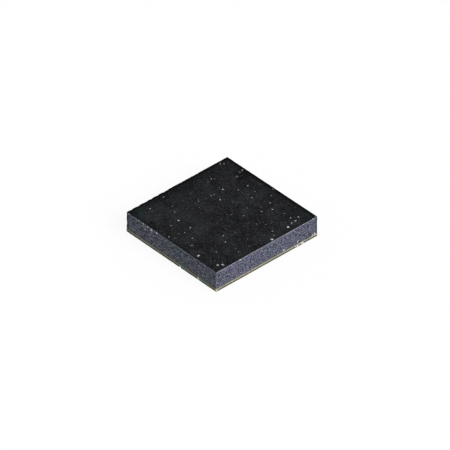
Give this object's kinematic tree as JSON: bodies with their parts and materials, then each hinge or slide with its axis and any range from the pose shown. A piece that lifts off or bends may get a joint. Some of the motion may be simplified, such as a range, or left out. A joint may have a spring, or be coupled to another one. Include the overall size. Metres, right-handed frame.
{
  "type": "multi-chip module",
  "caption": "Square overmoulded multi-chip module on a thin laminate, with sawn sides and solder lands round a ground paddle underneath.",
  "frame": {"origin": "centre of the underside, on the plane of the bottom solder mask", "axes": "+Z towards the moulded face, +X and +Y along the sawn sides, land one at the -X +Y corner"},
  "size_m": [0.005, 0.0052, 0.0009],
  "materials": {
    "mold_compound": "matte",
    "top_solder_mask": "satin",
    "top_copper": "satin",
    "upper_vias": "satin",
    "upper_prepreg": "satin",
    "upper_ground_plane": "satin",
    "core_vias": "satin",
    "laminate_core": "satin",
    "lower_ground_plane": "satin",
    "lower_vias": "satin",
    "lower_prepreg": "satin",
    "perimeter_lands": "satin",
    "ground_paddle": "satin",
    "bottom_solder_mask": "satin",
    "power_amplifier_die": "polished",
    "power_amplifier_attach": "matte",
    "power_amplifier_wires": "polished",
    "controller_die": "polished",
    "controller_attach": "matte",
    "controller_wires": "polished",
    "switch_die": "polished",
    "switch_attach": "matte",
    "switch_wires": "polished",
    "low_noise_amplifier_die": "polished",
    "low_noise_amplifier_attach": "matte",
    "low_noise_amplifier_wires": "polished",
    "filter_chips": "satin",
    "filter_walls": "satin",
    "filter_pillars": "satin",
    "capacitor_bodies": "matte",
    "capacitor_terminations": "satin",
    "capacitor_solder": "satin",
    "inductor_bodies": "matte",
    "inductor_terminations": "satin",
    "inductor_solder": "satin"
  },
  "bodies": {
    "root": {"mold_compound": "mold_compound", "top_solder_mask": "top_solder_mask", "top_copper": "top_copper", "upper_vias": "upper_vias", "upper_prepreg": "upper_prepreg", "upper_ground_plane": "upper_ground_plane", "core_vias": "core_vias", "laminate_core": "laminate_core", "lower_ground_plane": "lower_ground_plane", "lower_vias": "lower_vias", "lower_prepreg": "lower_prepreg", "perimeter_lands": "perimeter_lands", "ground_paddle": "ground_paddle", "bottom_solder_mask": "bottom_solder_mask", "power_amplifier_die": "power_amplifier_die", "power_amplifier_attach": "power_amplifier_attach", "power_amplifier_wires": "power_amplifier_wires", "controller_die": "controller_die", "controller_attach": "controller_attach", "controller_wires": "controller_wires", "switch_die": "switch_die", "switch_attach": "switch_attach", "switch_wires": "switch_wires", "low_noise_amplifier_die": "low_noise_amplifier_die", "low_noise_amplifier_attach": "low_noise_amplifier_attach", "low_noise_amplifier_wires": "low_noise_amplifier_wires", "filter_chips": "filter_chips", "filter_walls": "filter_walls", "filter_pillars": "filter_pillars", "capacitor_bodies": "capacitor_bodies", "capacitor_terminations": "capacitor_terminations", "capacitor_solder": "capacitor_solder", "inductor_bodies": "inductor_bodies", "inductor_terminations": "inductor_terminations", "inductor_solder": "inductor_solder"}
  },
  "joints": []
}
